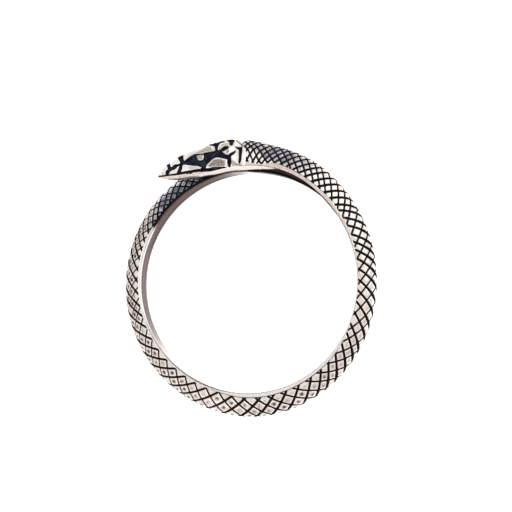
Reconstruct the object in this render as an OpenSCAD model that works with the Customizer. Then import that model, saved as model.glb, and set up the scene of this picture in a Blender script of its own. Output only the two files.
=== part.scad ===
// Snake ring, cast in one piece. The snake lies round the finger, its belly to the skin,
// and its head passes over its tail. The finger axis is Z and the ring lies on its tail side.
// The origin is the middle of the finger hole, halfway up the body that lies on the table.
// Angles run clockwise from the top (+Y), seen from above. Lengths are in millimetres.

/* [Finger hole] */
// Inner diameter of the ring
finger_d = 19; // [17:0.1:21]

/* [Body] */
// Width of the body along the finger
body_w = 2.1; // [1.8:0.05:2.4]
// Thickness of the body at the back of the ring, opposite the head
back_t = 2.05; // [1.6:0.05:2.4]
// Height of the smooth belly rim below the scaled back
rim_h = 0.3; // [0.2:0.05:0.45]
// Free space between the neck and the tail that it passes over
strand_gap = 0.2; // [0.15:0.05:0.4]
// Angle past the top at which the tail ends, under the neck
tail_end = 46; // [40:1:52]

/* [Head] */
// Length of the head in front of the collar
head_l = 7.45; // [6.5:0.05:8]
// Widest part of the head, across the cheeks
head_w = 2.7; // [2.4:0.05:2.8]
// Height of the head's crown above the finger hole
crown_h = 2.5; // [2.2:0.05:2.8]

/* [Hidden] */
bore_r = finger_d / 2;
floor_z = -body_w / 2;
// How high the neck's underside lies above the table
neck_climb = body_w + strand_gap;
// The skin reaches this far into the finger hole, and the bore trims it off
inner_skin = 0.25;
// The tail's tip stands this far clear of the finger, from this angle on
tip_clear = 0.03;
tip_clear_from = 386;
// Angle between two neighbouring sections of the body
station_step = 3.2;
// Points along the scaled back of one section
back_points = 13;
// The rims take at most this share of a section's thickness
rim_share = 0.4;
// The bore is cut in sectors that overlap a little, so each cut stays a short clean arc
bore_fn = 180;
bore_sectors = 7;
sector_start = 9;
sector_overlap = 3;
bore_margin = 1;

// Body sections: angle, width and thickness as shares of body_w and back_t, and climb above the
// table as a share of neck_climb. The first rows are the neck behind the collar.
ANGLE = 0;
WIDTH = 1;
THICK = 2;
CLIMB = 3;
BODY = [
    [2, 1.02, 1.19, 1.00],
    [10, 1.00, 1.08, 1.00],
    [20, 1.00, 1.045, 0.99],
    [32, 1.00, 1.02, 0.94],
    [45, 1.00, 0.93, 0.82],
    [68, 1.00, 0.82, 0.64],
    [90, 1.00, 0.77, 0.45],
    [112, 1.00, 0.80, 0.27],
    [135, 1.00, 0.87, 0.12],
    [158, 1.00, 0.95, 0.03],
    [180, 1.00, 1.00, 0.00],
    [202, 1.00, 0.94, 0.00],
    [225, 1.00, 0.87, 0.00],
    [248, 1.00, 0.81, 0.00],
    [270, 1.00, 0.78, 0.00],
    [295, 1.00, 0.78, 0.00],
    [320, 1.00, 0.77, 0.00],
    [350, 0.96, 0.72, 0.00],
    [375, 0.88, 0.64, 0.00],
    [392, 0.74, 0.52, 0.00],
    [402, 0.56, 0.38, 0.00]
];
// Past the last section the tail rounds off to its tip
TIP = BODY[len(BODY) - 1];
tip_reach = 4;
tip_steps = 4;
tip_least = 0.22;
tip_sink = 0.3;
// A longer or shorter tail is drawn out from this angle on
tail_from = 320;
tail_shift = 360 + tail_end - tip_reach - TIP[ANGLE];

// Head sections: distance in front of the collar as a share of head_l, underside and crown above
// the finger hole's top as shares of crown_h, and half width as a share of half of head_w.
AHEAD = 0;
UNDER = 1;
CROWN = 2;
HALF = 3;
HEAD = [
    [0.000, -0.24, 0.955, 0.82],
    [0.040, -0.24, 0.905, 0.80],
    [0.085, -0.23, 0.990, 0.93],
    [0.150, -0.24, 1.000, 1.00],
    [0.250, -0.25, 0.965, 1.00],
    [0.370, -0.28, 0.890, 0.95],
    [0.480, -0.31, 0.820, 0.88],
    [0.600, -0.34, 0.735, 0.79],
    [0.720, -0.36, 0.560, 0.69],
    [0.820, -0.36, 0.400, 0.58],
    [0.900, -0.34, 0.250, 0.46],
    [0.960, -0.31, 0.110, 0.33],
    [0.990, -0.28, 0.020, 0.20],
    [1.024, -0.24, -0.160, 0.07]
];
head_step = 0.033;
collar_x = 0.05;
// The head is wider than the neck and clears the tail by this much less than the neck does
head_drop = 0.05;
neck_z = floor_z + neck_climb + body_w / 2;
head_z = floor_z + neck_climb + head_w / 2 - head_drop;
// Share of the head's length over which it rises from the neck's height to its own
head_rise = 0.15;
// How square the head's section is: 2 is an ellipse, more is boxier
head_square = 2.5;
// Where on the section's height the head is widest, from 0 at the jaw to 1 at the crown
cheek_height = 0.42;
// Width of the flat under the jaw as a share of the head's width
jaw_share = 0.62;
// The section's outline starts this many degrees below the widest place on both sides
jaw_turn = 25;

// Smooth value of a table's column at a place along its first column
function row_at(table, at, row = 0) =
    (row >= len(table) - 2 || table[row + 1][0] > at) ? row : row_at(table, at, row + 1);
function slope(table, row, column) =
    let (before = max(row - 1, 0), after = min(row + 1, len(table) - 1))
    (table[after][column] - table[before][column]) / (table[after][0] - table[before][0]);
function smooth(table, at, column) =
    let (
        row = row_at(table, at),
        span = table[row + 1][0] - table[row][0],
        t = (at - table[row][0]) / span,
        start = table[row][column],
        end = table[row + 1][column],
        rise = slope(table, row, column) * span,
        run = slope(table, row + 1, column) * span
    )
    start * (2 * pow(t, 3) - 3 * pow(t, 2) + 1) + rise * (pow(t, 3) - 2 * pow(t, 2) + t)
    + end * (3 * pow(t, 2) - 2 * pow(t, 3)) + run * (pow(t, 3) - pow(t, 2));

// One section of the body as [across, out] pairs: up one rim, over the scaled back, down the other
function body_section(width, thick, inner) =
    let (rim = min(rim_h, thick * rim_share))
    concat(
        [[-width / 2, inner]],
        [for (i = [0 : back_points - 1])
            let (a = 180 - 180 * i / (back_points - 1))
            [width / 2 * cos(a), rim + (thick - rim) * sin(a)]],
        [[width / 2, inner]]
    );

function signed_pow(value, power) = sign(value) * pow(abs(value), power);

// The same number of points round a head section, from its lower edge over the crown
function head_section(half, under, crown) =
    let (
        mid = under + (crown - under) * cheek_height,
        power = 2 / head_square
    )
    concat(
        [[-half * jaw_share, under]],
        [for (i = [0 : back_points - 1])
            let (
                a = 180 + jaw_turn - (180 + 2 * jaw_turn) * i / (back_points - 1),
                reach = sin(a) < 0 ? mid - under : crown - mid
            )
            [half * signed_pow(cos(a), power), mid + reach * signed_pow(sin(a), power)]],
        [[half * jaw_share, under]]
    );

// Places a body section at its angle and climb
function body_ring(angle, width, thick, climb) = [
    for (p = body_section(width, thick, angle > tip_clear_from ? tip_clear : -inner_skin))
        let (r = bore_r + p[1])
        [r * sin(angle), r * cos(angle), floor_z + climb + width / 2 + p[0]]
];

// Places a head section at its distance in front of the collar
function head_ring(ahead) =
    let (
        half = smooth(HEAD, ahead, HALF) * head_w / 2,
        under = smooth(HEAD, ahead, UNDER) * crown_h,
        crown = smooth(HEAD, ahead, CROWN) * crown_h,
        middle = neck_z + (head_z - neck_z) * min(ahead / head_rise, 1)
    )
    [for (p = head_section(half, under, crown))
        [collar_x - ahead * head_l, bore_r + p[1], middle + p[0]]];

// Sections from the tail round the back and up the neck
body_rings = [
    for (angle = [TIP[ANGLE] : -station_step : BODY[0][ANGLE]])
        body_ring(
            angle + tail_shift * max(0, (angle - tail_from) / (TIP[ANGLE] - tail_from)),
            smooth(BODY, angle, WIDTH) * body_w,
            smooth(BODY, angle, THICK) * back_t,
            max(smooth(BODY, angle, CLIMB), 0) * neck_climb
        )
];

// The tail's rounded tip, from its end backwards
tip_rings = [
    for (i = [tip_steps : -1 : 1])
        let (
            t = i / tip_steps,
            share = max(sqrt(1 - t * t), tip_least),
            width = TIP[WIDTH] * body_w
        )
        body_ring(
            TIP[ANGLE] + tail_shift + tip_reach * t,
            width * share,
            TIP[THICK] * back_t * share,
            width * (1 - share) * tip_sink
        )
];

head_rings = [for (ahead = [0 : head_step : HEAD[len(HEAD) - 1][AHEAD]]) head_ring(ahead)];

// One closed skin through all the sections
module skin(rings) {
    count = len(rings[0]);
    last = len(rings) - 1;
    points = [for (ring = rings) each ring];
    walls = [
        for (i = [0 : last - 1])
            for (j = [0 : count - 1])
                let (
                    a = i * count + j,
                    b = i * count + (j + 1) % count
                )
                each [[a, b, b + count], [a, b + count, a + count]]
    ];
    tail_cap = [for (j = [1 : count - 2]) [0, j + 1, j]];
    head_cap = [for (j = [1 : count - 2]) [last * count, last * count + j, last * count + j + 1]];
    polyhedron(points = points, faces = concat(tail_cap, walls, head_cap), convexity = 8);
}

// One sector of the finger hole
module bore_sector(index) {
    sector = 360 / bore_sectors;
    rotate([0, 0, sector_start + index * sector])
    translate([0, 0, floor_z - bore_margin])
    rotate_extrude(angle = sector + sector_overlap, $fn = bore_fn)
    square([bore_r, neck_climb + head_w + 2 * bore_margin]);
}

// The snake with its first sectors of the finger hole trimmed to a true cylinder
module trimmed_snake(sectors) {
    if (sectors == 0)
        skin(concat(tip_rings, body_rings, head_rings));
    else
        difference() {
            trimmed_snake(sectors - 1);
            bore_sector(sectors - 1);
        }
}

module snake_ring() {
    color("silver")
    trimmed_snake(bore_sectors);
}

snake_ring();
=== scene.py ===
"""A finger ring cast as a scaled snake in oxidised silver, lying on a pale floor."""

import math

import bpy
import numpy as np
from mathutils import Matrix, Vector


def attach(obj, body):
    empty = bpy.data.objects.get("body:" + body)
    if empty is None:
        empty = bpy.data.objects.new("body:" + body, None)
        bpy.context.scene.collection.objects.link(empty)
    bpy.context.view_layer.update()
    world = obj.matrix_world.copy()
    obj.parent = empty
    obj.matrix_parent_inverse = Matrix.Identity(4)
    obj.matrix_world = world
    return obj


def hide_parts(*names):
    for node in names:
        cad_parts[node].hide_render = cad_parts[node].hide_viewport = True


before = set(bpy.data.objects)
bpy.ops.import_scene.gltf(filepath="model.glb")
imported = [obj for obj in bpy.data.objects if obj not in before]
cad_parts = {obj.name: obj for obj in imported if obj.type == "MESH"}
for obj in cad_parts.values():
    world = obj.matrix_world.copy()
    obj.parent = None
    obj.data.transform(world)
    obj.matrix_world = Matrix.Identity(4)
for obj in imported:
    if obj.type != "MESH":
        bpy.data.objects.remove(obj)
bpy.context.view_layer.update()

# Sizes are in millimetres up to the mesh, which is in metres. Angles are in degrees and run
# clockwise from +Y, seen from above, as in the part's source, whose tables these repeat.
MM = 0.001
BORE_R = 9.5
BODY_W = 2.1
BACK_T = 2.05
RIM_H = 0.3
RIM_SHARE = 0.4
FLOOR_Z = -BODY_W / 2
NECK_CLIMB = 2.3

# Body sections: angle, width / BODY_W, thickness / BACK_T, climb / NECK_CLIMB. The first row is
# where the neck runs into the collar.
WIDTH, THICK, CLIMB = 1, 2, 3
BODY = [
    (0, 1.04, 1.165, 1), (2, 1.02, 1.19, 1), (10, 1, 1.08, 1), (20, 1, 1.045, 0.99),
    (32, 1, 1.02, 0.94), (45, 1, 0.93, 0.82), (68, 1, 0.82, 0.64), (90, 1, 0.77, 0.45),
    (112, 1, 0.8, 0.27), (135, 1, 0.87, 0.12), (158, 1, 0.95, 0.03), (180, 1, 1, 0),
    (202, 1, 0.94, 0), (225, 1, 0.87, 0), (248, 1, 0.81, 0), (270, 1, 0.78, 0), (295, 1, 0.78, 0),
    (320, 1, 0.77, 0), (350, 0.96, 0.72, 0), (375, 0.88, 0.64, 0), (392, 0.74, 0.52, 0),
    (402, 0.56, 0.38, 0),
]
# The tail's rounded tip: its first angle and its length in degrees, the least share of the section
# that is left, and the share of the lost width by which it leaves the floor
TIP_ANGLE = 402
TIP_REACH = 4
TIP_LEAST = 0.22
TIP_SINK = 0.3

# Angle of each groove at GROOVE_LEVEL from the crest, on the upper flank. The forward grooves run
# on round the ring as they climb from the rim to the crest, and the backward ones run back. Where
# the tail is hidden, past 330 degrees, they carry on with an even change of spacing.
GROOVE_LEVEL = 1.3
FORWARD_GROOVES = [
    -9.0, -6.2, -3.4, -0.6, 2.0, 4.6, 7.7, 10.5, 13.3, 16.0, 18.8, 21.7, 24.8, 28.3, 31.7, 35.0, 38.9,
    42.6, 46.4, 50.2, 54.4, 57.7, 62.1, 66.3, 71.0, 74.8, 79.0, 83.5, 88.5, 94.2, 99.7, 105.5, 110.9,
    117.1, 121.8, 127.5, 133.3, 138.7, 143.9, 150.3, 157.6, 164.5, 171.3, 178.3, 185.9, 193.1, 200.8,
    207.2, 213.2, 219.3, 225.6, 231.8, 238.3, 244.7, 251.4, 257.4, 262.4, 268.8, 274.9, 280.5, 286.1,
    290.7, 295.2, 300.3, 305.3, 309.7, 315.0, 319.2, 323.8, 328.3, 332.8, 337.2, 341.6, 346.0, 350.3,
    354.6, 358.8, 363.0, 367.1, 371.2, 375.2, 379.1, 383.0, 386.8, 390.5, 394.1, 397.6, 401.0, 404.3,
    407.5, 410.6,
]
BACKWARD_GROOVES = [
    -9.2, -6.4, -3.6, -0.8, 2.0, 4.9, 8.0, 11.7, 16.1, 20.3, 24.2, 28.7, 32.8, 36.8, 40.6, 45.2, 50.2,
    55.0, 59.2, 64.7, 70.5, 76.1, 81.8, 87.7, 93.9, 101.5, 110.0, 116.8, 124.5, 130.9, 137.8, 144.5,
    151.8, 158.3, 165.0, 171.3, 177.6, 183.2, 189.7, 197.0, 203.8, 209.6, 215.6, 222.0, 228.4, 234.7,
    240.6, 247.0, 252.9, 257.7, 263.5, 268.7, 274.2, 280.3, 285.0, 290.1, 294.8, 299.7, 304.7, 309.9,
    313.5, 318.7, 324.1, 328.8, 333.3, 337.7, 342.1, 346.4, 350.7, 354.9, 359.1, 363.2, 367.3, 371.3,
    375.2, 379.1, 382.9, 386.6, 390.3, 393.9, 397.4, 400.8, 404.1, 407.3, 410.4,
]
# Lean of both kinds of groove, in degrees for each millimetre of climb
FORWARD_LEAN, BACKWARD_LEAN = 1, 2
LEAN = [
    (-4, 4.6, 5.6), (30, 4.3, 5.6), (45, 3.6, 6.5), (60, 4.2, 6.1), (78, 4.4, 6.5), (92, 4.8, 7.4),
    (106, 5.2, 9), (116, 5.2, 9), (130, 5.2, 7.8), (155, 5.3, 7.3), (180, 5.7, 6.6), (200, 6, 5.8),
    (215, 6.1, 5.9), (235, 6.5, 7.4), (265, 7.1, 7.4), (290, 7.6, 7.2), (306, 8.4, 7.2),
    (320, 7, 6.8), (360, 6.6, 6.6), (410, 6.2, 6.2),
]
# Distance from the crest at which the grooves end, in millimetres
GROOVE_END = [
    (-4, 2.45), (7, 2.46), (11, 2.3), (14, 2.06), (20, 1.98), (33, 2.05), (48, 1.95), (58, 1.98),
    (68, 1.93), (76, 1.97), (90, 2.01), (105, 2.06), (118, 2.04), (130, 1.95), (145, 2),
    (172, 2.06), (183, 2.1), (192, 2.16), (205, 2.16), (220, 2.1), (240, 2), (265, 1.92),
    (285, 1.84), (300, 1.85), (312, 1.9), (345, 1.84), (375, 1.62), (395, 1.15), (406, 0.7),
]
# Shares of the full groove width, forward and backward, and how black the backward grooves are
FORWARD_WIDTH, BACKWARD_WIDTH, BACKWARD_INK = 1, 2, 3
LINES = [
    (-4, 0.88, 0.95, 1), (28, 0.98, 1, 1), (45, 1.1, 1, 1), (60, 1.05, 1.1, 1), (90, 1.05, 0.95, 1),
    (110, 1.08, 0.92, 0.95), (150, 1.08, 1.05, 0.95), (180, 1.12, 1.15, 1), (200, 0.94, 1, 0.95),
    (230, 0.98, 0.9, 0.85), (255, 1, 0.84, 0.8), (285, 0.98, 0.84, 0.8), (300, 0.9, 0.85, 0.85),
    (312, 1, 1, 1), (406, 1, 1, 1),
]
# Where the forward grooves are wider towards the crest: where that starts, is full, is full for
# the last time and ends, and the share it adds
WIDER_GROOVES = [
    (58, 68, 184, 196, 0.20),
    (50, 66, 136, 152, 0.30),
    (216, 240, 294, 306, 0.50),
]
# How far the neck's belly stands off the finger where it passes over the tail, in millimetres
LIFT = [
    (-5, 0), (-3, 0), (1, 0.03), (6, 0.08), (16, 0.13), (30, 0.13), (44, 0.04), (52, 0), (60, 0),
]
# Depth of the small dimple in the middle of each scale, as a share of the full one
DIMPLE = [
    (-4, 0), (80, 0), (98, 0.15), (112, 0.45), (140, 0.8), (160, 1), (200, 1), (240, 1), (285, 1),
    (300, 0.8), (308, 0.4), (316, 0.05), (330, 0), (406, 0),
]
# Tone of the scales: angle, warm beige, slate grey, and warm beige of the smooth rim
# The warm beiges are partly painted reflection, and the slate grey on the tail beside the head is
# painted shadow
WARM, SLATE, RIM_WARM = 1, 2, 3
TONE = [
    (-4, 0.5, 0.45, 0.45), (6, 0.6, 0.68, 0.7), (20, 0.6, 0.78, 0.85), (30, 0.4, 0.42, 0.85),
    (38, 0.25, 0.08, 0.8), (55, 0.3, 0, 0.7), (80, 0.55, 0, 0.6), (110, 0.5, 0, 0.45),
    (150, 0.48, 0, 0.35), (185, 0.55, 0, 0.35), (205, 0.55, 0, 0.12), (240, 0.44, 0, 0.08),
    (280, 0.42, 0, 0.1), (298, 0.44, 0.12, 0.4), (305, 0.4, 0.6, 0.5), (313, 0.2, 0.95, 0.5),
    (406, 0.2, 1, 0.5),
]
# How much of the mauve tone, a painted dark reflection, the belly has
MAUVE = [
    (-4, 0), (200, 0), (224, 0), (233, 0.45), (243, 0.85), (256, 1), (342, 1), (353, 0.75),
    (361, 0.12), (368, 0.45), (384, 0.45), (406, 0.2),
]
# How dark that mauve is
SHADE = [
    (-4, 0.6), (235, 0.62), (255, 0.68), (282, 0.76), (293, 0.86), (306, 0.95), (330, 1),
    (344, 0.85), (353, 0.62), (406, 0.6),
]
# Where the neck's inner face is black with painted shade: below this share of its half width
NECK_DARK = [
    (-4, -1.9), (4, -1.6), (8, -0.8), (12, -0.3), (15, 0.45), (19, 1.2), (24, 1.5), (30, 1.5),
    (42, 1.4), (52, 1), (64, 0.2), (80, -1.4), (90, -1.9),
]
# How dark the line between the scales and the rim is; past 300 degrees, beside the head, it is painted
# shadow
RIM_LINE = [
    (-4, 0), (12, 0.2), (17, 0.58), (42, 0.58), (52, 0.2), (60, 0), (118, 0), (128, 0.42),
    (195, 0.46), (210, 0), (292, 0), (300, 1), (406, 1),
]
# How dark the painted shade along the sharp edge between the rim and the belly is
EDGE_SHADE = [
    (-4, 0), (40, 0), (48, 0.4), (72, 0.3), (84, 0), (188, 0), (197, 0.7), (204, 1), (215, 0.8),
    (230, 0.6), (245, 0.5), (258, 0), (406, 0),
]
# The scales start behind the collar: the angle at the crest, degrees more for each millimetre
# down the flank, and the angle at which this ends
COLLAR_START = -2.1
COLLAR_LEAN = 2.2
COLLAR_MOST = 1.4
COLLAR_FADE = 0.5
# Beside the collar, low on the neck, the grooves lean less by this share, from and to these angles
STEEPER = 0.45
STEEPER_FROM = (14, 5)
# Half of the length over which a groove runs out at the rim, and the least height of the rim
GROOVE_FADE = 0.03
RIM_LEAST = 0.02
# Share of the grooves' depth that is gone along the crest
CREST_SHALLOW = 0.70
# Rounding between the rim and the belly: radius, its most as a share of the rim, and the turns
# of its points
EDGE_ROUND = 0.09
EDGE_SHARE = 0.4
EDGE_TURNS = (30, 60, 90)
# Distance from the finger at which the grooves' spacing is measured
SPACING_OUT = 1.0

# The body's meshes: name, first and last angle. Then the degrees between two stations, the lines
# along the back and the spans across the belly.
STRETCHES = [
    ("neck", -0.2, 60),
    ("back", 60, 175),
    ("flank", 175, 290),
    ("tail", 290, TIP_ANGLE + TIP_REACH),
]
STATION_STEP = 0.2
BACK_LINES = 113
BELLY_SPANS = 10


def smooth(table, at, column=1):
    """The value of a table's column at places along its first column, on a smooth curve."""
    rows = np.array(table, float)
    x, y = rows[:, 0], rows[:, column]
    at = np.clip(np.asarray(at, float), x[0], x[-1])
    slope = np.empty(len(x))
    slope[1:-1] = (y[2:] - y[:-2]) / (x[2:] - x[:-2])
    slope[0] = (y[1] - y[0]) / (x[1] - x[0])
    slope[-1] = (y[-1] - y[-2]) / (x[-1] - x[-2])
    row = np.clip(np.searchsorted(x, at, side="right") - 1, 0, len(x) - 2)
    span = x[row + 1] - x[row]
    t = (at - x[row]) / span
    return (
        y[row] * (2 * t**3 - 3 * t**2 + 1)
        + slope[row] * span * (t**3 - 2 * t**2 + t)
        + y[row + 1] * (3 * t**2 - 2 * t**3)
        + slope[row + 1] * span * (t**3 - t**2)
    )


def step(low, high, value):
    """0 below low and 1 above high, with a soft rise between them. low may be the larger."""
    t = np.clip((value - low) / (high - low), 0, 1)
    return t * t * (3 - 2 * t)


def between(start, full, last, end, value):
    """1 from full to last and 0 outside start and end, with a soft rise and fall."""
    return step(start, full, value) * step(end, last, value)


def body_size(angle):
    """Width, thickness and climb of the body, the tail's rounded tip included."""
    width = smooth(BODY, angle, WIDTH) * BODY_W
    thick = smooth(BODY, angle, THICK) * BACK_T
    climb = np.maximum(smooth(BODY, angle, CLIMB), 0) * NECK_CLIMB
    past = np.clip((angle - TIP_ANGLE) / TIP_REACH, 0, 1)
    share = np.maximum(np.sqrt(1 - past**2), TIP_LEAST)
    return width * share, thick * share, climb + width * (1 - share) * TIP_SINK


def place(angle, across, out, width, climb):
    """Points of the body from their section coordinates."""
    r = BORE_R + out
    turn = np.radians(angle)
    z = FLOOR_Z + climb + width / 2 + across
    return np.stack([r * np.sin(turn), r * np.cos(turn), z], axis=-1)


def rim_size(thick):
    """Height of the smooth rim, and the radius of its edge towards the belly."""
    rim = np.minimum(RIM_H, thick * RIM_SHARE)
    return rim, np.minimum(EDGE_ROUND, rim * EDGE_SHARE)


# Quarter ellipses of unit half width, one for each height in QUARTER_HEIGHTS
QUARTER_HEIGHTS = np.linspace(0.15, 2.8, 54)
QUARTER_STEPS = 181


def quarter_tables():
    """Length of each quarter ellipse, and the turn from its crest at even shares of its length."""
    turn = np.linspace(0, math.pi / 2, QUARTER_STEPS)
    shares = np.linspace(0, 1, QUARTER_STEPS)
    lengths, turns = [], []
    for height in QUARTER_HEIGHTS:
        x, y = np.sin(turn), height * np.cos(turn)
        run = np.concatenate([[0], np.cumsum(np.hypot(np.diff(x), np.diff(y)))])
        lengths.append(run[-1])
        turns.append(np.interp(shares, run / run[-1], turn))
    return np.array(lengths), np.array(turns)


QUARTER_LENGTHS, QUARTER_TURNS = quarter_tables()


def crest_turn(height, share):
    """Turn from the crest at a share of the quarter ellipse's length."""
    row = np.interp(height, QUARTER_HEIGHTS, np.arange(len(QUARTER_HEIGHTS)))
    column = np.clip(share, 0, 1) * (QUARTER_STEPS - 1)
    r0 = np.minimum(row.astype(int), len(QUARTER_HEIGHTS) - 2)
    c0 = np.minimum(column.astype(int), QUARTER_STEPS - 2)
    fr, fc = row - r0, column - c0
    near = QUARTER_TURNS[r0, c0] * (1 - fc) + QUARTER_TURNS[r0, c0 + 1] * fc
    far = QUARTER_TURNS[r0 + 1, c0] * (1 - fc) + QUARTER_TURNS[r0 + 1, c0 + 1] * fc
    return near * (1 - fr) + far * fr


def back_span(angle):
    """Length of the quarter ellipse from crest to rim, of the whole flank, and the rim's height."""
    width, thick, _ = body_size(angle)
    rim, edge = rim_size(thick)
    half = width / 2
    quarter = np.interp((thick - rim) / half, QUARTER_HEIGHTS, QUARTER_LENGTHS) * half
    return quarter, quarter + rim - smooth(LIFT, angle) - edge, rim


def scaled_back(angle, run):
    """Points on the back at distances from the crest, measured over the section's curve."""
    width, thick, climb = body_size(angle)
    quarter, _, rim = back_span(angle)
    half, dome = width / 2, thick - rim
    turn = crest_turn(dome / half, np.minimum(np.abs(run) / quarter, 1))
    past = np.maximum(np.abs(run) - quarter, 0)
    across = half * np.sin(turn) * np.sign(run)
    return place(angle, across, rim + dome * np.cos(turn) - past, width, climb)


def groove_count(grooves, angle, run, lean):
    """Number of the groove at a place on the back, with a fraction between two grooves, and the
    distance between neighbouring grooves there."""
    level = angle - lean * (GROOVE_LEVEL - run)
    number = np.interp(level, grooves, np.arange(len(grooves)))
    spacing = np.interp(level, (np.array(grooves[1:]) + grooves[:-1]) / 2, np.diff(grooves))
    per_degree = np.radians(1) * (BORE_R + SPACING_OUT)
    return number, spacing * per_degree / np.hypot(1, lean * per_degree)


def belly_rows(angle):
    """Points from the rim on the upper side, round the edge, over the belly to the other rim."""
    width, thick, climb = body_size(angle)
    _, edge = rim_size(thick)
    lift = smooth(LIFT, angle)
    turns = [math.radians(turn) for turn in EDGE_TURNS]
    corner = [(width / 2 - edge * (1 - math.cos(t)), lift + edge * (1 - math.sin(t))) for t in turns]
    flat = width / 2 - edge
    middle = [(flat * (1 - 2 * i / BELLY_SPANS), lift) for i in range(1, BELLY_SPANS)]
    rows = corner + middle + [(-across, out) for across, out in reversed(corner)]
    return [place(angle, across, out, width, climb) for across, out in rows]


def with_hubs(values, first=0.0, last=0.0):
    """A ring grid's values in one row, with those of its two hubs behind them."""
    return np.concatenate([values.ravel(), [first, last]])


def capped_tube(grid):
    """Points and faces of a tube of rings, with both ends closed by a fan round a hub."""
    index = np.arange(grid.size // 3).reshape(grid.shape[:2])
    after = np.roll(index, -1, axis=1)
    walls = np.stack([index[:-1], index[1:], after[1:], after[:-1]], axis=-1).reshape(-1, 4)
    hub = np.full(index.shape[1], index.size)
    first = np.stack([hub, index[0], after[0]], axis=-1)
    last = np.stack([hub + 1, after[-1], index[-1]], axis=-1)
    hubs = [grid[0].mean(axis=0), grid[-1].mean(axis=0)]
    points = np.concatenate([grid.reshape(-1, 3), hubs])
    return points, walls.tolist() + first.tolist() + last.tolist()


def body_skin(name, first, last):
    """One closed stretch of the smooth body between two angles, with the grooves' places on it."""
    stations = np.linspace(first, last, round((last - first) / STATION_STEP) + 1)
    angle = np.repeat(stations[:, None], BACK_LINES, axis=1)
    flank = back_span(stations)[1][:, None]
    run = flank * np.linspace(1, -1, BACK_LINES)
    down = np.abs(run)
    belly = np.stack(belly_rows(stations), axis=1)
    grid = np.concatenate([scaled_back(angle, run), belly], axis=1)
    ring = grid.shape[1]

    clear = np.minimum(smooth(GROOVE_END, angle), flank - RIM_LEAST) - down
    collar = np.minimum(COLLAR_START + COLLAR_LEAN * down, COLLAR_MOST)
    scaled = step(0, COLLAR_FADE, angle - collar)
    wider = sum(share * between(*span, angle) for *span, share in WIDER_GROOVES)
    wider = 1 + wider * step(1.2, 0.5, down)
    steeper = 1 - STEEPER * step(*STEEPER_FROM, angle) * (down > GROOVE_LEVEL)

    def spread(back_values, belly_value):
        """One value for each point: the back's own, one for the belly, and the two hubs."""
        rest = np.full((len(stations), ring - BACK_LINES), belly_value, float)
        return with_hubs(np.concatenate([back_values, rest], axis=1), belly_value, belly_value)

    values = {
        "forward_width": spread(smooth(LINES, angle, FORWARD_WIDTH) * wider, 1),
        "backward_width": spread(smooth(LINES, angle, BACKWARD_WIDTH), 1),
        "backward_ink": spread(smooth(LINES, angle, BACKWARD_INK), 1),
        "dimple": spread(smooth(DIMPLE, angle) * step(0.2, 0.4, clear), 0),
        "mask": spread(step(-GROOVE_FADE, GROOVE_FADE, clear) * scaled, 0),
        "deep": spread(1 - CREST_SHALLOW * step(1.0, 0.35, down), 0),
    }
    for kind, grooves, lean in (
        ("forward", FORWARD_GROOVES, smooth(LEAN, angle, FORWARD_LEAN)),
        ("backward", BACKWARD_GROOVES, -smooth(LEAN, angle, BACKWARD_LEAN)),
    ):
        number, pitch = groove_count(grooves, angle, run, lean * steeper)
        values[kind] = spread(number, 0.5)
        values[kind + "_pitch"] = spread(pitch * MM, MM)
    tones = body_tones(
        angle=with_hubs(np.repeat(stations, ring), first, last),
        run=spread(run, 0),
        belly=spread(np.zeros_like(run), 1),
        side=with_hubs(grid[..., 2] - grid[..., 2].mean(axis=1, keepdims=True)),
        rim_gap=spread(-clear, 1),
        bottom=spread(flank - down, 0),
    )
    # The collar's roll in front of the first scales is bare and bright
    tones["warm"] *= spread(scaled, 1)
    tones["cool"] *= spread(scaled, 1)
    values.update(tones)
    return make_mesh(name, *capped_tube(grid), values)


# Angles between which a tone of the body comes in or goes out: first where it is nothing, and
# then where it is full. Four angles are a tone's start, its full stretch and its end.
NECK_SHADE_ANGLES = (86, 50)
TAIL_SHADE_ANGLES = (342, 358)
TAIL_SHADE_SPREAD = (366, 350)
HEAD_SHADOW = (297, 304)
HEAD_SHADOW_GAP = (344, 350, 355, 360)
CROSSED_FLANK = (330, 342)
BROAD_LINE = (116, 130, 202, 212)
BRIGHT_NECK = (60, 40)
BRIGHT_NECK_LOWER = (5, 12)
RIM_SLATE_LESS = (300, 280)
SLATE_END = (358, 350)
TWO_TONE_BELLY = (292, 282)
LIGHT_BELLY_EDGE = (304, 296)
PLAIN_NECK = (60, 20)
PLAIN_TAIL = (356, 366)
# The same for distances from the crest in millimetres, and for the painted shades' edges, which are
# taken across the belly in shares of its half width
WARM_FLANK = (0.15, 0.6)
NECK_SLATE_FLANK = (0.1, 0.5)
TAIL_SLATE_FLANK = (0.55, 1.25)
LOW_FLANK = (0.9, 1.6)
CROSSED_SIDE = (1.0, 1.5)
NECK_SHADE_EDGE = (0.45, -0.25)
TAIL_SHADE_EDGE = (-0.60, 0.40)
# Where the tail's half of the ring begins, and the stretch near the head, where the slate grey
# starts some degrees sooner low on the flank
TAIL_HALF = 200
NEAR_HEAD = 290
SLATE_SOONER = 5
# Share of the shadow beside the head that its gap lacks
HEAD_GAP_LACK = 0.85
# Bright scales low on the neck: their distance from the crest, how much lower they are further on,
# the width of their soft edge, and the shares of slate grey and of warm beige that they lack
BRIGHT_START = 1.15
BRIGHT_LOWER = 0.55
BRIGHT_EDGE = 0.3
BRIGHT_SLATE_LACK = 0.90
BRIGHT_WARM_LACK = 0.85
# The painted shade along the belly's upper edge: millimetres from the edge, and shares of the half
# width
EDGE_SHADE_REACH = (0.12, 0.03)
EDGE_SHADE_LEVEL = (0.84, 0.92)
# The line above the rim: its place below the grooves' ends, its half width and what a broad one adds
LINE_BELOW = 0.03
LINE_HALF = 0.035
LINE_BROADER = 0.022
# The belly's painted dark reflection: how much darker its upper half is, and the light band along
# it, with the band's place and its waves over the belly
UPPER_DARKER = 0.22
BAND_LIGHTER = 0.10
BAND_LEVEL = 0.15
BAND_WAVES = 5.5


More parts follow.
